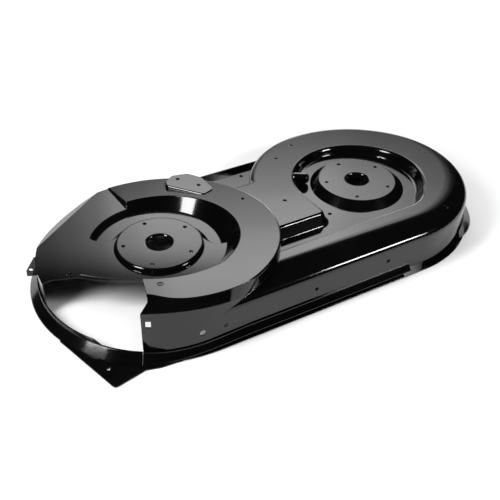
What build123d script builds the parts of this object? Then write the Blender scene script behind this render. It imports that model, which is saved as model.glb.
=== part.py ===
from build123d import *
import os
from math import atan2, cos, hypot, radians, sin, tan

# Lawn mower deck: a pressed steel shell with two blade domes, and the strips and plates welded to it.
# Millimetres. X runs along the spindles, Y to the rear, and Z up from the bottom edge.

# Pressed sheet and its outline
sheet = 2.5
spindle_spacing = 540.0
wall_radius = 268.0
lip_width = 12.0
ledge_height = 26.0
rear_edge_height = 38.0
web_rear = 116.0
web_corner_round = 12.0

# Spindle seats
seat_height = 90.0
seat_radius = 95.0
near_seat_slope = 65.0
far_seat_slope = 41.0
seat_round = 5.0
bore_radius = 28.0
bore_round = 5.0
collar_depth = 12.0
bolt_circle_radius = 79.0
bolt_count = 5
bolt_hole_radius = 4.3

# Far dome and front bridge, under a top that leans back
far_tilt = 2.4
far_top_height = 98.7
shoulder_start = 213.0
shoulder_slope = 14.0
shoulder_shift = 40.0
shoulder_blend = 120.0
shoulder_round = 16.0

# Recess round the far seat, with the channel along the front and a pip on the recess wall
far_floor_height = 72.0
recess_radius = 150.0
recess_slope = 68.0
recess_floor_round = 7.0
recess_rim_round = 8.0
channel_front = 157.0
channel_rear = 107.0
channel_right = 106.0
channel_corner = 84.0
channel_blend = 60.0
plateau_corner = 26.0
pip_angle = 147.7
pip_inset = 8.0
pip_height = 87.0
pip_length = 46.0
pip_radius = 13.0
pip_end_round = 11.0

# Near dome with its leaning ring, its recess and the groove behind the seat
near_tilt = 5.2
ring_height = 108.0
ring_inner_radius = 179.0
ring_inner_slope = 48.0
ring_front_radius = 206.0
ring_front_shift = (25.0, 36.0)
ring_front_blend = 100.0
ring_edge_round = 4.0
near_floor_height = 80.0
ring_start_angle = 93.0
ring_end_angle = 222.0
step_slope = 60.0
bevel_angle = 126.0
bevel_slope = 30.0
bevel_reach = 239.0
groove_floor_height = 68.0
groove_floor_round = 6.0
groove_radius = 141.0
groove_width = 58.0
groove_slope = 45.0
groove_start = -8.0
groove_sweep = 136.0

# Twisting bevel on the front of the ring: angle, radius of its top edge, height of its foot on the wall
ring_bevel = [(-128, 218, 116), (-105, 238, 120), (-90, 252, 113), (-77, 262, 100), (-65, 268.4, 88)]

# Raised pad on the near ring, its corners counted from the near spindle
pad_height = 100.0
pad_round = 4.0
pad_corner = 12.0
pad_outline = [(110, 204), (137, 221), (175, 212), (198, 180), (200, 118), (168, 106), (104, 186)]

# Discharge opening, counted from the near spindle: the front cut through the ring, then the lipped floor edge
opening_front_angle = -122.5
opening_front_cut = [(-119, -205), (-114, -193), (-106, -166), (-99, -137), (-80, -106)]
opening_lip_edge = [(-84, -89), (-106, -82), (-141, -61), (-166, -40), (-190, -17)]
opening_left_cut = [(-229, -5), (-248, 2)]
opening_left_angle = -176.0
opening_lip_height = 6.5

# Holes in the top faces, counted from the spindle of their dome, and holes in the front skirt
top_hole_radius = 4.5
near_holes = [(236, 43), (-208, 3), (142, 198), (175, 150)]
far_holes = [(-216, -5), (-128, 178), (-56, 219), (-130, -71), (99, -213)]
ring_hole = (-74, -167)
ring_hole_radius = 6.5
ledge_hole_x = 196.0
ledge_hole_edge = 31.0
skirt_hole_radius = 4.3
skirt_holes = [(433, 57.5), (241, 55), (21, 51.5)]
skirt_round_hole = (-96.6, 51.6)
skirt_round_hole_radius = 6.5
skirt_square_hole = (-119.5, 92.5)
skirt_square_width = 11.0
skirt_square_height = 16.0

# Welded strips and plate
weld_gap = 0.1
strip_thickness = 3.0
strip_top = 30.0
strip_trim = 1.0
strap_flange = 2.0
strap_foot = 13.0
strap_foot_lift = 11.0
strap_end_gap = 45.0
strap_rise = 80.0
seam_angle = 0.1
hoop_sweep = 88.0
hoop_low_end = -141.0
hoop_low_depth = 10.0
hoop_step_slope = 30.0
hoop_lift = 2.0
band_flange = 9.0
band_foot = 22.0
band_lift = 1.0
band_sweep = 75.0
plate_start_angle = -160.0
plate_tip_angle = -129.5
plate_reach = 64.0
plate_overhang = 2.0
plate_tip_round = 8.0
plate_hole_angle = -134.5
plate_hole_reach = 20.0
plate_hole_radius = 3.5

# Front strap, evenly from the opening to the straight: height of its top edge, reach and lift of its foot
strap_stations = [(20, 24, 0), (21, 18, 2), (24, 13, 5), (27, 12, 8)]

# Start of the end band: angle, reach of its foot from the wall and lift of its foot from the floor
band_stations = [(-58, 8, 8), (-51, 17, 5), (-43, 23, 3), (-30, 25, 2), (-15, 23.5, 1.4)]

# Front edge of the plate, from the tip to the strap: angle and reach from the wall
plate_edge = [(-120.8, 33), (-114.8, 26), (-110, 18), (-106, 14)]

# Upright tab with a hole, at the discharge end
bracket_angle = 160.0
bracket_thickness = 4.0
bracket_lift = 1.0
bracket_reach = 24.0
bracket_knee = 14.0
bracket_height = 48.0
bracket_top_width = 4.0
bracket_hole_reach = 14.0
bracket_hole_lift = 16.0
bracket_hole_radius = 4.5

# Room for tools that cut right through
clear = 60.0
tall = 220.0

near_x = -spindle_spacing / 2
far_x = spindle_spacing / 2
band_radius = wall_radius + band_foot


def leaning(x, height, tilt):
    """Plane through a point of the spindle line, leaning back so that it rises to the front."""
    return Plane(origin=(x, 0, height), x_dir=(1, 0, 0), z_dir=(0, sin(radians(tilt)), cos(radians(tilt))))


def corner(slope, inset):
    """Sideways shift of a sloping wall's foot where the sheet is entered by inset."""
    return inset * tan(radians(slope) / 2)


def around(radius, angle, x=near_x):
    """Point in plan at a radius and an angle about a spindle."""
    return (x + radius * cos(radians(angle)), radius * sin(radians(angle)))


def radial(angle, x=near_x):
    """Upright plane through a spindle: its X runs outward and its Y up."""
    return Plane(
        origin=(x, 0, 0),
        x_dir=(cos(radians(angle)), sin(radians(angle)), 0),
        z_dir=(sin(radians(angle)), -cos(radians(angle)), 0),
    )


def bottom(inset):
    """Level where a form starts: the under face is run out below the deck."""
    return -clear if inset else 0


def seat_form(spindle_x, floor_height, slope, inset):
    """Raised round seat that a spindle is bolted to."""
    depth = seat_height - floor_height + 2 * sheet
    run = depth / tan(radians(slope))
    radius = seat_radius - corner(slope, inset)
    with BuildPart() as seat:
        with Locations((spindle_x, 0, seat_height - inset)):
            Cone(radius + run, radius, depth, align=(Align.CENTER, Align.CENTER, Align.MAX))
        fillet(seat.faces().sort_by(Axis.Z)[-1].edges(), radius=seat_round - inset)
    return seat.part


def shoulder_section(plane, rear, inset):
    """Section of the far top seen along X: flat from the rear, then a soft bend into the front shoulder."""
    outer = wall_radius + clear
    bend = shoulder_blend * tan(radians(shoulder_slope) / 2)
    bend_start = (-shoulder_start + bend, -inset)
    bend_end = (
        -shoulder_start - bend * cos(radians(shoulder_slope)),
        -inset - bend * sin(radians(shoulder_slope)),
    )
    foot = -inset - (outer - shoulder_start) * tan(radians(shoulder_slope))
    with BuildSketch(Plane(plane.origin, x_dir=plane.y_dir, z_dir=plane.x_dir)) as section:
        with BuildLine():
            Line((rear, -inset), bend_start)
            TangentArc(bend_start, bend_end, tangent=(-1, 0))
            Polyline(bend_end, (-outer, foot), (-outer, -tall), (rear, -tall), (rear, -inset))
        make_face()
    return section.sketch


def far_body(inset):
    """Far dome with the front bridge and the web, before its recess."""
    wall = wall_radius - inset
    rear = web_rear - inset
    middle = leaning(0, far_top_height, far_tilt)
    end = leaning(far_x, far_top_height, far_tilt)
    turn = Axis(end.from_local_coords((0, shoulder_shift, 0)), end.z_dir)
    straight = shoulder_section(middle, wall_radius + clear, inset)
    round_end = shoulder_section(end, shoulder_shift, inset)
    with BuildPart() as top:
        extrude(straight, amount=spindle_spacing / 2, both=True)
        revolve(round_end, axis=turn, revolution_arc=180)
    with BuildPart() as far:
        with BuildSketch(Plane.XY.offset(bottom(inset))) as outline:
            with Locations((far_x, 0)):
                Circle(wall)
            with Locations((far_x, rear)):
                Rectangle(spindle_spacing, rear + wall, align=(Align.MAX, Align.MAX))
            cusp = outline.vertices().filter_by_position(Axis.Y, rear - 1, rear + 1).sort_by(Axis.X)[-1]
            fillet(cusp, radius=web_corner_round + inset)
        extrude(amount=tall)
        add(top.part, mode=Mode.INTERSECT)
        walls = far.faces().filter_by(lambda face: abs(face.normal_at().Z) < 0.01).sort_by(Axis.X)[1:]
        brim = ShapeList(walls).edges().filter_by_position(Axis.Z, far_floor_height, tall)
        fillet(brim, radius=shoulder_round - inset)
    return far.part


def far_recess(inset):
    """Room above the floor round the far seat, with the channel that runs along the front bridge."""
    grow = corner(recess_slope, inset)
    left = far_x - recess_radius - grow
    front = channel_front + grow
    rear = channel_rear - grow
    with BuildSketch(Plane.XY.offset(far_floor_height - inset)) as floor:
        with Locations((left, -front)):
            Rectangle(recess_radius + channel_right + 2 * grow, front, align=Align.MIN)
        lead = floor.vertices().group_by(Axis.Y)[0].sort_by(Axis.X)[-1]
        fillet(lead, radius=channel_corner + grow)
        with Locations((far_x, 0)):
            Circle(recess_radius + grow)
        with Locations((near_x, -front)):
            Rectangle(spindle_spacing, front - rear, align=Align.MIN)
        fillet(floor.vertices().sort_by(Axis.X)[-1], radius=channel_blend - grow)
        fillet(floor.vertices().sort_by_distance((left, -rear))[0], radius=plateau_corner - grow)
    with BuildPart() as room:
        extrude(floor.sketch, amount=clear, taper=recess_slope - 90)
        foot = room.faces().sort_by(Axis.Z)[0].edges().sort_by(Axis.X)[1:]
        fillet(foot, radius=recess_floor_round + inset)
    return room.part


def pip_form(inset):
    """Long round bump that stands on the recess wall and points at the far spindle."""
    reach = recess_radius - pip_inset
    with BuildPart() as pip:
        with Locations(radial(pip_angle, far_x) * Location((reach, pip_height, 0), (0, 90, 0))):
            Cylinder(pip_radius - inset, pip_length - 2 * inset)
        fillet(pip.edges().filter_by(GeomType.CIRCLE), radius=pip_end_round - inset)
    return pip.part


def far_form(inset):
    """Far dome, bridge and web with the recess pressed in and the seat raised from its floor."""
    body = far_body(inset)
    room = far_recess(inset)
    seat = seat_form(far_x, far_floor_height, far_seat_slope, inset)
    pip = pip_form(inset)
    with BuildPart() as far:
        add(body)
        add(room, mode=Mode.SUBTRACT)
        halfway = (far_floor_height + far_top_height) / 2
        rim = far.edges(Select.LAST).filter_by(lambda edge: edge.bounding_box().min.Z > halfway)
        fillet(rim, radius=recess_rim_round - inset)
        add(seat)
        add(pip)
        with Locations((near_x, 0, 0)):
            Cylinder(wall_radius - inset - 2 * sheet, 2 * tall, mode=Mode.SUBTRACT)
    return far.part


def ring_bevel_section(angle, top_radius, foot_height, inset):
    """Radial section of what the twisting bevel takes off the front of the ring."""
    top_height = ring_height - top_radius * sin(radians(angle)) * tan(radians(near_tilt))
    lean = atan2(top_height - foot_height, top_radius - wall_radius)
    along = (cos(lean), sin(lean))
    out = (sin(lean), -cos(lean))
    reach = hypot(top_height - foot_height, top_radius - wall_radius) + clear
    start = (
        wall_radius - along[0] * clear - out[0] * inset,
        foot_height - along[1] * clear - out[1] * inset,
    )
    end = (start[0] + along[0] * (reach + clear), start[1] + along[1] * (reach + clear))
    with BuildSketch(radial(angle)) as section:
        with BuildLine():
            Polyline(
                start, end,
                (end[0] + out[0] * clear, end[1] + out[1] * clear),
                (start[0] + out[0] * clear, start[1] + out[1] * clear),
                close=True,
            )
        make_face()
    return section.sketch


def near_cutters(inset):
    """What is pressed down in the near dome: the recess with its groove, and the low left side."""
    floor_height = near_floor_height - inset
    run = clear / tan(radians(ring_inner_slope))
    grow = inset / sin(radians(ring_inner_slope))
    radius = ring_inner_radius + grow
    front = ring_front_radius + grow
    with BuildPart() as groove:
        with BuildSketch(Plane.XY.offset(groove_floor_height - inset)):
            with BuildLine(mode=Mode.PRIVATE) as path:
                CenterArc((near_x, 0), groove_radius, groove_start, groove_sweep)
            SlotArc(path.edge(), groove_width + 2 * corner(groove_slope, inset))
        extrude(amount=clear, taper=groove_slope - 90)
    with BuildPart() as floor:
        with Locations((near_x, 0, floor_height)):
            Cylinder(wall_radius, clear, align=(Align.CENTER, Align.CENTER, Align.MAX))
        add(groove.part, mode=Mode.SUBTRACT)
    with BuildPart() as recess:
        with Locations(leaning(near_x, ring_height, near_tilt)):
            Cone(radius - run, radius + run, 2 * clear)
            with Locations((*ring_front_shift, 0)):
                Cone(front - run, front + run, 2 * clear, mode=Mode.INTERSECT)
        creases = recess.edges().filter_by(lambda edge: edge.bounding_box().size.Z > clear)
        fillet(creases, radius=ring_front_blend)
        split(bisect_by=Plane.XY.offset(groove_floor_height - inset), keep=Keep.TOP)
        add(floor.part, mode=Mode.SUBTRACT)
        fillet(recess.faces().sort_by(Axis.Z)[0].edges(), radius=groove_floor_round + inset)
    with BuildPart() as low_side:
        with BuildSketch(Plane.XY.offset(floor_height)):
            with BuildLine():
                Polyline(
                    (near_x, 0), around(3 * tall, ring_start_angle), around(4 * tall, 140),
                    around(4 * tall, 190), around(3 * tall, ring_end_angle), close=True,
                )
            make_face()
            offset(amount=corner(step_slope, inset), kind=Kind.INTERSECTION)
        extrude(amount=clear, taper=step_slope - 90)
    return recess.part, low_side.part


def near_form(inset):
    """Near dome with the leaning ring, the low left side, the raised pad and the seat."""
    wall = wall_radius - inset
    recess, low_side = near_cutters(inset)
    facing = radial(bevel_angle)
    tilt = radians(bevel_slope)
    bevel = Plane(
        origin=facing.from_local_coords((bevel_reach, near_floor_height, 0)),
        z_dir=facing.x_dir * sin(tilt) + facing.y_dir * cos(tilt),
    )
    sections = [ring_bevel_section(*station, inset) for station in ring_bevel]
    seat = seat_form(near_x, near_floor_height, near_seat_slope, inset)
    with BuildPart() as front_bevel:
        loft(sections)
    with BuildPart() as pad:
        with BuildSketch(Plane.XY.offset(near_floor_height - sheet)) as plan:
            with Locations((near_x, 0)):
                Polygon(*pad_outline, align=None)
            fillet(plan.vertices(), radius=pad_corner)
            offset(amount=-inset)
        extrude(amount=pad_height - near_floor_height + sheet - inset)
        fillet(pad.faces().sort_by(Axis.Z)[-1].edges(), radius=pad_round - inset)
    with BuildPart() as near:
        with BuildSketch(Plane.XY.offset(bottom(inset))):
            with Locations((near_x, 0)):
                Circle(wall)
        extrude(amount=tall)
        split(bisect_by=leaning(near_x, ring_height, near_tilt).offset(-inset), keep=Keep.BOTTOM)
        fillet(near.faces().sort_by(Axis.Z)[-1].edges(), radius=ring_edge_round - inset)
        add(recess, mode=Mode.SUBTRACT)
        ring = near.faces().filter_by(GeomType.PLANE).sort_by(Axis.Z)[-1]
        fillet(ring.inner_wires().edges(), radius=ring_edge_round - inset)
        add(front_bevel.part, mode=Mode.SUBTRACT)
        split(bisect_by=bevel.offset(-inset), keep=Keep.BOTTOM)
        add(low_side, mode=Mode.SUBTRACT)
        add(seat)
        add(pad.part)
    return near.part


def deck_form(inset):
    """Whole pressing as a solid: bounded by its upper face, or by its under face where inset is the sheet."""
    far = far_form(inset)
    near = near_form(inset)
    with BuildPart() as form:
        with BuildSketch(Plane.XY.offset(bottom(inset))):
            SlotCenterToCenter(spindle_spacing, 2 * (wall_radius - inset))
        extrude(amount=ledge_height - inset - bottom(inset))
        add(far)
        add(near)
    return form.part


def strip_section(plane, top_height, flange, foot_reach, foot_height):
    """Section of a flared strip: a flange, to be trimmed to the wall, that bends outward to its foot."""
    outer = wall_radius + weld_gap + strip_thickness
    inner = outer - strip_thickness - strip_trim
    foot = wall_radius + foot_reach
    bend_height = top_height - flange
    flare = atan2(foot - outer, bend_height - foot_height)
    with BuildSketch(plane) as section:
        with BuildLine():
            Polyline(
                (inner, top_height), (outer, top_height), (outer, bend_height), (foot, foot_height),
                (foot - strip_thickness / cos(flare), foot_height),
                (inner, bend_height - strip_thickness * tan(flare / 2)), close=True,
            )
        make_face()
    return section.sketch


def sector(start, end):
    """Wedge in plan between two angles about the near spindle."""
    with BuildSketch() as wedge:
        with BuildLine():
            Polyline((near_x, 0), around(3 * tall, start), around(3 * tall, end), close=True)
        make_face()
    return wedge.sketch


def collar_section(spindle_x):
    """Section of the drawn collar that leads into a spindle bore."""
    outer = bore_radius + bore_round
    tip = seat_height - collar_depth
    bend = seat_height - bore_round
    back = bore_radius + sheet
    with BuildSketch(Plane.XZ) as section:
        with BuildLine():
            RadiusArc((outer, seat_height), (bore_radius, bend), -bore_round)
            Polyline((bore_radius, bend), (bore_radius, tip), (back, tip), (back, bend))
            RadiusArc((back, bend), (outer, seat_height - sheet), bore_round - sheet)
            Line((outer, seat_height - sheet), (outer, seat_height))
        make_face()
    return section.sketch.moved(Location((spindle_x, 0, 0)))


# The pressed shell
upper = deck_form(0)
under = deck_form(sheet)
collars = [collar_section(x) for x in (near_x, far_x)]
front_cut, lip_edge, left_cut = (
    [(near_x + x, y) for x, y in line] for line in (opening_front_cut, opening_lip_edge, opening_left_cut)
)
top_holes = [(near_x + x, y, seat_height) for x, y in near_holes]
top_holes += [(far_x + x, y, seat_height) for x, y in far_holes]
skirt_places = [Location((near_x + x, -wall_radius, height), (90, 0, 0)) for x, height in skirt_holes]
round_place = radial(skirt_round_hole[0]) * Location((wall_radius, skirt_round_hole[1], 0), (0, 90, 0))
square_place = radial(skirt_square_hole[0]) * Location((wall_radius, skirt_square_hole[1], 0))
with BuildPart() as deck_shell:
    add(upper)
    add(under, mode=Mode.SUBTRACT)
    # Bottom lip and the edge that stands up behind the rear ledge
    with BuildSketch():
        SlotCenterToCenter(spindle_spacing, 2 * (wall_radius + lip_width))
        SlotCenterToCenter(spindle_spacing, 2 * (wall_radius - sheet), mode=Mode.SUBTRACT)
    extrude(amount=sheet)
    with Locations((0, wall_radius, 0)):
        Box(spindle_spacing, sheet, rear_edge_height, align=(Align.CENTER, Align.MAX, Align.MIN))
    # Opening that the cut grass leaves by, with the lip turned up along its edge
    with BuildSketch(Plane.XY.offset(-clear)):
        with BuildLine():
            Polyline(
                around(2 * tall, opening_front_angle), around(wall_radius, opening_front_angle),
                *front_cut, *lip_edge, *left_cut,
                around(2 * tall, opening_left_angle), around(3 * tall, -150), close=True,
            )
        make_face()
    extrude(amount=2 * tall, mode=Mode.SUBTRACT)
    with BuildSketch(Plane.XY.offset(near_floor_height - sheet)):
        with BuildLine() as lip_line:
            Polyline(*lip_edge)
        trace(lip_line.wires(), line_width=sheet)
    extrude(amount=opening_lip_height + sheet)
    # Spindle bores with their collars and bolt circles
    with Locations((near_x, 0, seat_height), (far_x, 0, seat_height)):
        Cylinder(bore_radius + bore_round, 4 * collar_depth, mode=Mode.SUBTRACT)
        with PolarLocations(bolt_circle_radius, bolt_count, start_angle=90):
            Cylinder(bolt_hole_radius, 4 * collar_depth, mode=Mode.SUBTRACT)
    for spindle_x, section in zip((near_x, far_x), collars):
        revolve(section, axis=Axis((spindle_x, 0, 0), (0, 0, 1)))
    # Holes in the top faces
    with Locations(*top_holes):
        Cylinder(top_hole_radius, tall, mode=Mode.SUBTRACT)
    with Locations((near_x + ring_hole[0], ring_hole[1], seat_height)):
        Cylinder(ring_hole_radius, tall, mode=Mode.SUBTRACT)
    with Locations((far_x - ledge_hole_x, wall_radius - ledge_hole_edge, ledge_height)):
        Cylinder(top_hole_radius, 4 * sheet, mode=Mode.SUBTRACT)
    # Holes in the front skirt
    with Locations(*skirt_places):
        Cylinder(skirt_hole_radius, 8 * sheet, mode=Mode.SUBTRACT)
    with Locations(round_place):
        Cylinder(skirt_round_hole_radius, 8 * sheet, mode=Mode.SUBTRACT)
    with Locations(square_place):
        Box(8 * sheet, skirt_square_height, skirt_square_width, mode=Mode.SUBTRACT)

# Room inside the strips, up to the skirt that they are welded to
with BuildPart() as skirt_room:
    with BuildSketch(Plane.XY.offset(-clear)):
        SlotCenterToCenter(spindle_spacing, 2 * (wall_radius + weld_gap))
    extrude(amount=tall)

# Flared strip along the foot of the front skirt, which drops and widens towards the opening
strap_turn = (-90 - opening_front_angle) / (len(strap_stations) - 1)
strap_base = strip_thickness + weld_gap
strap_plane = radial(-90).offset(-strap_rise)
strap_full = strip_section(strap_plane, strip_top, strap_flange, strap_foot, strap_base + strap_foot_lift)
strap_sections = [
    strip_section(
        radial(opening_front_angle + index * strap_turn), top_height, strap_flange, reach, strap_base + lift
    )
    for index, (top_height, reach, lift) in enumerate(strap_stations)
]
with BuildPart() as front_strap:
    loft([*strap_sections, strap_full])
    extrude(strap_full, amount=strap_rise + strap_end_gap - spindle_spacing)
    add(skirt_room.part, mode=Mode.SUBTRACT)

# Flared hoop across the discharge opening, low beside the strap
hoop_start = radial(opening_front_angle - seam_angle)
hoop_section = strip_section(hoop_start, strip_top, band_flange, band_foot, hoop_lift)
hoop_low = sector(opening_front_angle, hoop_low_end).moved(Location((0, 0, strip_top - hoop_low_depth)))
with BuildPart() as discharge_hoop:
    revolve(hoop_section, axis=Axis((near_x, 0, 0), (0, 0, -1)), revolution_arc=hoop_sweep)
    extrude(hoop_low, amount=2 * hoop_low_depth, taper=hoop_step_slope - 90, mode=Mode.SUBTRACT)
    add(skirt_room.part, mode=Mode.SUBTRACT)

# Flared band round the other end, widest near its start
band_section = strip_section(radial(0, far_x), strip_top, band_flange, band_foot, band_lift)
band_sections = [
    strip_section(radial(angle, far_x), strip_top, band_flange, reach, lift)
    for angle, reach, lift in band_stations
]
with BuildPart() as end_band:
    loft([*band_sections, band_section])
    revolve(band_section, axis=Axis((far_x, 0, 0), (0, 0, 1)), revolution_arc=band_sweep)
    add(skirt_room.part, mode=Mode.SUBTRACT)

# Flat plate outside the hoop, which ends under the strap
hoop_span = sector(opening_front_angle, opening_front_angle - hoop_sweep)
with BuildSketch() as hoop_room:
    with Locations((near_x, 0)):
        Circle(band_radius + weld_gap)
    add(hoop_span, mode=Mode.INTERSECT)
with BuildPart() as corner_plate:
    with BuildSketch() as plan:
        with BuildLine():
            Polyline(
                around(band_radius + plate_overhang, plate_start_angle),
                around(band_radius + plate_reach, plate_tip_angle),
                *[around(wall_radius + reach, angle) for angle, reach in plate_edge], (near_x, 0), close=True,
            )
        make_face()
        fillet(plan.vertices().sort_by(Axis.Y)[0], radius=plate_tip_round)
        with Locations((near_x, 0)):
            Circle(wall_radius + lip_width + weld_gap, mode=Mode.SUBTRACT)
        add(hoop_room.sketch, mode=Mode.SUBTRACT)
        with Locations(around(band_radius + plate_hole_reach, plate_hole_angle)):
            Circle(plate_hole_radius, mode=Mode.SUBTRACT)
    extrude(amount=strip_thickness)

# Upright tab on the wall of the discharge end
bracket_foot = strip_top + bracket_lift
with BuildPart() as chute_bracket:
    with BuildSketch(radial(bracket_angle)):
        with BuildLine():
            Polyline(
                (wall_radius + weld_gap, bracket_foot), (wall_radius + bracket_reach, bracket_foot),
                (wall_radius + bracket_reach, bracket_foot + bracket_knee),
                (wall_radius + bracket_top_width, bracket_foot + bracket_height),
                (wall_radius + weld_gap, bracket_foot + bracket_height), close=True,
            )
        make_face()
        with Locations((wall_radius + bracket_hole_reach, bracket_foot + bracket_hole_lift)):
            Circle(bracket_hole_radius, mode=Mode.SUBTRACT)
    extrude(amount=bracket_thickness / 2, both=True)

os.makedirs("parts", exist_ok=True)
deck_shell.part.label = "deck_shell"
export_step(deck_shell.part, "parts/deck_shell.step")
front_strap.part.label = "front_strap"
export_step(front_strap.part, "parts/front_strap.step")
discharge_hoop.part.label = "discharge_hoop"
export_step(discharge_hoop.part, "parts/discharge_hoop.step")
end_band.part.label = "end_band"
export_step(end_band.part, "parts/end_band.step")
corner_plate.part.label = "corner_plate"
export_step(corner_plate.part, "parts/corner_plate.step")
chute_bracket.part.label = "chute_bracket"
export_step(chute_bracket.part, "parts/chute_bracket.step")
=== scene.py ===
from math import cos, pi, radians, sin

import bpy
from mathutils import Matrix, Vector

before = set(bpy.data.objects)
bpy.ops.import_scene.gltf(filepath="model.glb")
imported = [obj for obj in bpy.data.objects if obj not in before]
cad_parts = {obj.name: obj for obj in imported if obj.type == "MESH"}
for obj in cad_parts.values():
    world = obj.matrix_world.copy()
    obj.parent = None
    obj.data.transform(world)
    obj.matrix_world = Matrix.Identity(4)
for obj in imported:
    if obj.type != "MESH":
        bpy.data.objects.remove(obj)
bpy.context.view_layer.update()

# Camera: a view from the front left and above, fitted to the photograph, in metres and degrees
camera_place = Vector((-0.8057, -1.2766, 1.135))
camera_target = Vector((-0.1086, -0.1208, 0.09))
camera_roll = 1.43
camera_near = 0.01
lens_mm = 56.25
sensor_mm = 36.0

# Paint: two near-black tones in soft patches, with orange peel and softened edges
paint_dark = (0.0012, 0.0012, 0.0013, 1)
paint_light = (0.0022, 0.0022, 0.0024, 1)
patch_scale, patch_detail = 9.0, 4.0
patch_start, patch_end = 0.35, 0.75
roughness_low, roughness_high = 0.07, 0.12
peel_scale, peel_detail = 120.0, 2.0
peel_strength, peel_depth = 0.02, 0.001
edge_radius, edge_samples = 0.002, 6
paint_ior = 1.5

# Floor, a hair under the deck, and its lift to white with the distance from the deck in metres
floor_size = 30
floor_drop = 0.0005
floor_tone = 0.85
floor_mottle = 0.99
mottle_scale = 3.0
floor_roughness = 0.9
floor_lift = 0.9
lift_start, lift_end = 0.6, 2.2

# Backdrop panel across the camera's heading: heights and widths in metres, with the light at each
look_heading = radians(58.9)
panel_distance = 2.0
panel_rise = [
    (0.0, 0.9), (0.7, 0.6), (0.8, 0.6), (0.9, 1.1), (1.0, 1.6), (1.12, 2.2),
    (1.3, 3.6), (1.45, 4.4), (1.75, 4.2), (1.85, 2.6), (1.95, 0.4), (2.1, 0.0),
]
panel_sweep = [
    (-1.5, 0.05), (-1.2, 0.15), (-1.05, 0.25), (-0.9, 0.37), (-0.75, 0.7), (-0.55, 0.95),
    (0.3, 1.0), (0.6, 0.72), (0.9, 0.5), (1.05, 0.25), (1.3, 0.05), (1.5, 0.0),
]
glow_rise = [(0.0, 3.0), (0.5, 3.0), (0.75, 0.0), (2.1, 0.0)]
glow_sweep = [(-1.5, 0.0), (-0.1, 0.0), (0.1, 1.0), (0.5, 1.0), (0.8, 0.0), (1.5, 0.0)]

# Strip lights: directions of both ends in degrees, counted from the camera's heading, right and up
strip_distance = 2.2
strips = {
    "right_strip": {"ends": ((107, 39), (112, 29)), "width": 0.44, "light": 45},
    "left_strip": {"ends": ((-111, 56), (-130, 28)), "width": 0.5, "light": 24},
}

# Soft light overhead, which the paint doesn't mirror, and the dim room
overhead_height = 2.6
overhead_size = 3.5
overhead_light = 0.9
room_light = 0.01
room_in_picture = 1.0

white = (1, 1, 1, 1)


def grey(level):
    return (level, level, level, 1)


def node_tree(material):
    """Empties a material's node tree and returns its nodes and links."""
    material.use_nodes = True
    nodes = material.node_tree.nodes
    nodes.clear()
    return nodes, material.node_tree.links


def surface(nodes, links, kind):
    """Adds a surface shader of a kind and joins it to the output."""
    output = nodes.new("ShaderNodeOutputMaterial")
    shader = nodes.new(kind)
    links.new(shader.outputs[0], output.inputs["Surface"])
    return shader


def noise(nodes, links, place, scale, detail):
    """Soft noise over the object's own coordinates."""
    texture = nodes.new("ShaderNodeTexNoise")
    texture.inputs["Scale"].default_value = scale
    texture.inputs["Detail"].default_value = detail
    links.new(place, texture.inputs["Vector"])
    return texture.outputs["Fac"]


def ramp(nodes, links, source, stops, blend="LINEAR"):
    """Colour through a list of (place, colour) stops between 0 and 1."""
    band = nodes.new("ShaderNodeValToRGB")
    band.color_ramp.interpolation = blend
    elements = band.color_ramp.elements
    while len(elements) < len(stops):
        elements.new(0.5)
    for element, (place, colour) in zip(elements, stops):
        element.position = place
        element.color = colour
    links.new(source, band.inputs["Fac"])
    return band.outputs["Color"]


def mapped(nodes, links, source, low, high, start=0.0, end=1.0, blend="LINEAR"):
    """Value that goes from low to high while its source goes from start to end."""
    step = nodes.new("ShaderNodeMapRange")
    step.interpolation_type = blend
    step.inputs["From Min"].default_value = start
    step.inputs["From Max"].default_value = end
    step.inputs["To Min"].default_value = low
    step.inputs["To Max"].default_value = high
    links.new(source, step.inputs["Value"])
    return step.outputs["Result"]


def combined(nodes, links, operation, first, second):
    """Two values put together by a sum or a product."""
    step = nodes.new("ShaderNodeMath")
    step.operation = operation
    links.new(first, step.inputs[0])
    links.new(second, step.inputs[1])
    return step.outputs["Value"]


def graded(nodes, links, source, stops):
    """Light through a list of (place, light) stops along one coordinate."""
    first, last = stops[0][0], stops[-1][0]
    peak = max(light for place, light in stops)
    share = mapped(nodes, links, source, 0.0, 1.0, first, last)
    tones = [((place - first) / (last - first), grey(light / peak)) for place, light in stops]
    level = ramp(nodes, links, share, tones, "EASE")
    return mapped(nodes, links, level, 0.0, peak)


def black_paint():
    """Gloss black paint over pressed steel, with a faint orange peel and softened edges."""
    material = bpy.data.materials.new("black_paint")
    nodes, links = node_tree(material)
    shader = surface(nodes, links, "ShaderNodeBsdfPrincipled")
    shader.inputs["IOR"].default_value = paint_ior
    place = nodes.new("ShaderNodeTexCoord").outputs["Object"]
    patches = noise(nodes, links, place, patch_scale, patch_detail)
    tone = ramp(nodes, links, patches, [(patch_start, paint_dark), (patch_end, paint_light)])
    links.new(tone, shader.inputs["Base Color"])
    roughness = mapped(nodes, links, patches, roughness_low, roughness_high)
    links.new(roughness, shader.inputs["Roughness"])
    edges = nodes.new("ShaderNodeBevel")
    edges.samples = edge_samples
    edges.inputs["Radius"].default_value = edge_radius
    bump = nodes.new("ShaderNodeBump")
    bump.inputs["Strength"].default_value = peel_strength
    bump.inputs["Distance"].default_value = peel_depth
    peel = noise(nodes, links, place, peel_scale, peel_detail)
    links.new(peel, bump.inputs["Height"])
    links.new(edges.outputs["Normal"], bump.inputs["Normal"])
    links.new(bump.outputs["Normal"], shader.inputs["Normal"])
    return material


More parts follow.
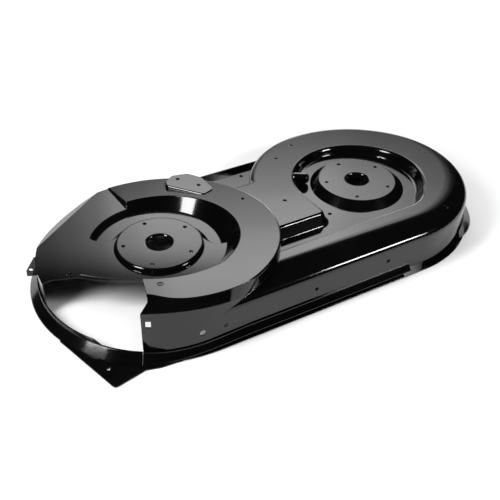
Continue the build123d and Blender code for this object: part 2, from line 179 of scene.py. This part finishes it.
def floor_white():
    """Pale matt floor with a faint mottle. The picture alone shows it lifted to white further out."""
    material = bpy.data.materials.new("floor_white")
    nodes, links = node_tree(material)
    shader = surface(nodes, links, "ShaderNodeBsdfPrincipled")
    shader.inputs["Roughness"].default_value = floor_roughness
    shader.inputs["Specular IOR Level"].default_value = 0.0
    shader.inputs["Emission Color"].default_value = white
    mottle = nodes.new("ShaderNodeTexNoise")
    mottle.inputs["Scale"].default_value = mottle_scale
    tones = [(0.0, grey(floor_tone * floor_mottle)), (1.0, grey(floor_tone))]
    links.new(ramp(nodes, links, mottle.outputs["Fac"], tones), shader.inputs["Base Color"])
    distance = nodes.new("ShaderNodeVectorMath")
    distance.operation = "LENGTH"
    links.new(nodes.new("ShaderNodeTexCoord").outputs["Object"], distance.inputs[0])
    outward = mapped(
        nodes, links, distance.outputs["Value"], 0.0, floor_lift, lift_start, lift_end, "SMOOTHSTEP"
    )
    in_picture = nodes.new("ShaderNodeLightPath").outputs["Is Camera Ray"]
    lift = combined(nodes, links, "MULTIPLY", in_picture, outward)
    links.new(lift, shader.inputs["Emission Strength"])
    return material


def panel_glow():
    """Light of the panel, graded in height and to both sides, with a low glow to the right."""
    material = bpy.data.materials.new("panel_glow")
    nodes, links = node_tree(material)
    shader = surface(nodes, links, "ShaderNodeEmission")
    shader.inputs["Color"].default_value = white
    split = nodes.new("ShaderNodeSeparateXYZ")
    links.new(nodes.new("ShaderNodeTexCoord").outputs["Object"], split.inputs["Vector"])
    layers = []
    for rise, sweep in ((panel_rise, panel_sweep), (glow_rise, glow_sweep)):
        height = graded(nodes, links, split.outputs["Y"], rise)
        side = graded(nodes, links, split.outputs["X"], sweep)
        layers.append(combined(nodes, links, "MULTIPLY", height, side))
    links.new(combined(nodes, links, "ADD", *layers), shader.inputs["Strength"])
    return material


def toward(heading, rise):
    """Direction from the deck, counted from the camera's heading to the right, and up."""
    turn = look_heading - radians(heading)
    level = cos(radians(rise))
    return Vector((cos(turn) * level, sin(turn) * level, sin(radians(rise))))


def added(name, data):
    """New object with its data, linked to the scene."""
    thing = bpy.data.objects.new(name, data)
    bpy.context.scene.collection.objects.link(thing)
    return thing


def set_axes(thing, place, across, up, back):
    """Places an object with its own X, Y and Z along three directions."""
    turn = Matrix((across, up, back)).transposed().to_4x4()
    thing.matrix_world = Matrix.Translation(place) @ turn


def add_camera():
    """Camera at the photograph's view, with its slight roll."""
    camera = added("camera", bpy.data.cameras.new("camera"))
    look = (camera_target - camera_place).to_track_quat("-Z", "Y").to_matrix().to_4x4()
    turn = Matrix.Rotation(radians(camera_roll), 4, "Z")
    camera.matrix_world = Matrix.Translation(camera_place) @ look @ turn
    camera.data.lens = lens_mm
    camera.data.sensor_width = sensor_mm
    camera.data.sensor_fit = "HORIZONTAL"
    camera.data.clip_start = camera_near
    bpy.context.scene.camera = camera


def add_floor():
    """Wide floor that catches the deck's shadow."""
    bpy.ops.mesh.primitive_plane_add(size=floor_size, location=(0, 0, -floor_drop))
    floor = bpy.context.object
    floor.name = "floor"
    floor.data.materials.append(floor_white())


def add_panel():
    """Upright graded panel behind the deck."""
    left, right = panel_sweep[0][0], panel_sweep[-1][0]
    top = panel_rise[-1][0]
    corners = [(left, 0, 0), (right, 0, 0), (right, top, 0), (left, top, 0)]
    mesh = bpy.data.meshes.new("panel")
    mesh.from_pydata(corners, [], [(0, 1, 2, 3)])
    mesh.materials.append(panel_glow())
    panel = added("panel", mesh)
    ahead = toward(0, 0)
    set_axes(panel, ahead * panel_distance, toward(90, 0), Vector((0, 0, 1)), -ahead)


def add_lamp(name, start, end, width, light):
    """Softbox along a line, of a given brightness, turned to the deck."""
    along = end - start
    middle = (start + end) / 2
    lamp = bpy.data.lights.new(name, "AREA")
    lamp.shape = "RECTANGLE"
    lamp.size, lamp.size_y = along.length, width
    lamp.energy = light * pi * along.length * width
    holder = added(name, lamp)
    across = middle.cross(along).normalized()
    set_axes(holder, middle, along.normalized(), across, along.cross(across).normalized())
    return holder


def add_lights():
    """Two strips that the paint mirrors, and a soft light overhead that it doesn't."""
    for name, strip in strips.items():
        start, end = (toward(*direction) * strip_distance for direction in strip["ends"])
        add_lamp(name, start, end, strip["width"], strip["light"])
    above = Vector((0, 0, overhead_height))
    half = Vector((overhead_size / 2, 0, 0))
    overhead = add_lamp("overhead", above - half, above + half, overhead_size, overhead_light)
    overhead.visible_glossy = False


def add_world():
    """Dim room that the picture shows as white."""
    world = bpy.data.worlds.new("studio")
    bpy.context.scene.world = world
    world.use_nodes = True
    nodes, links = world.node_tree.nodes, world.node_tree.links
    background = nodes["Background"]
    background.inputs["Color"].default_value = white
    in_picture = nodes.new("ShaderNodeLightPath").outputs["Is Camera Ray"]
    level = mapped(nodes, links, in_picture, room_light, room_in_picture)
    links.new(level, background.inputs["Strength"])


paint = black_paint()
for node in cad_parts.values():
    node.data.materials.clear()
    node.data.materials.append(paint)
add_camera()
add_floor()
add_panel()
add_lights()
add_world()
bpy.context.scene.view_settings.view_transform = "Standard"
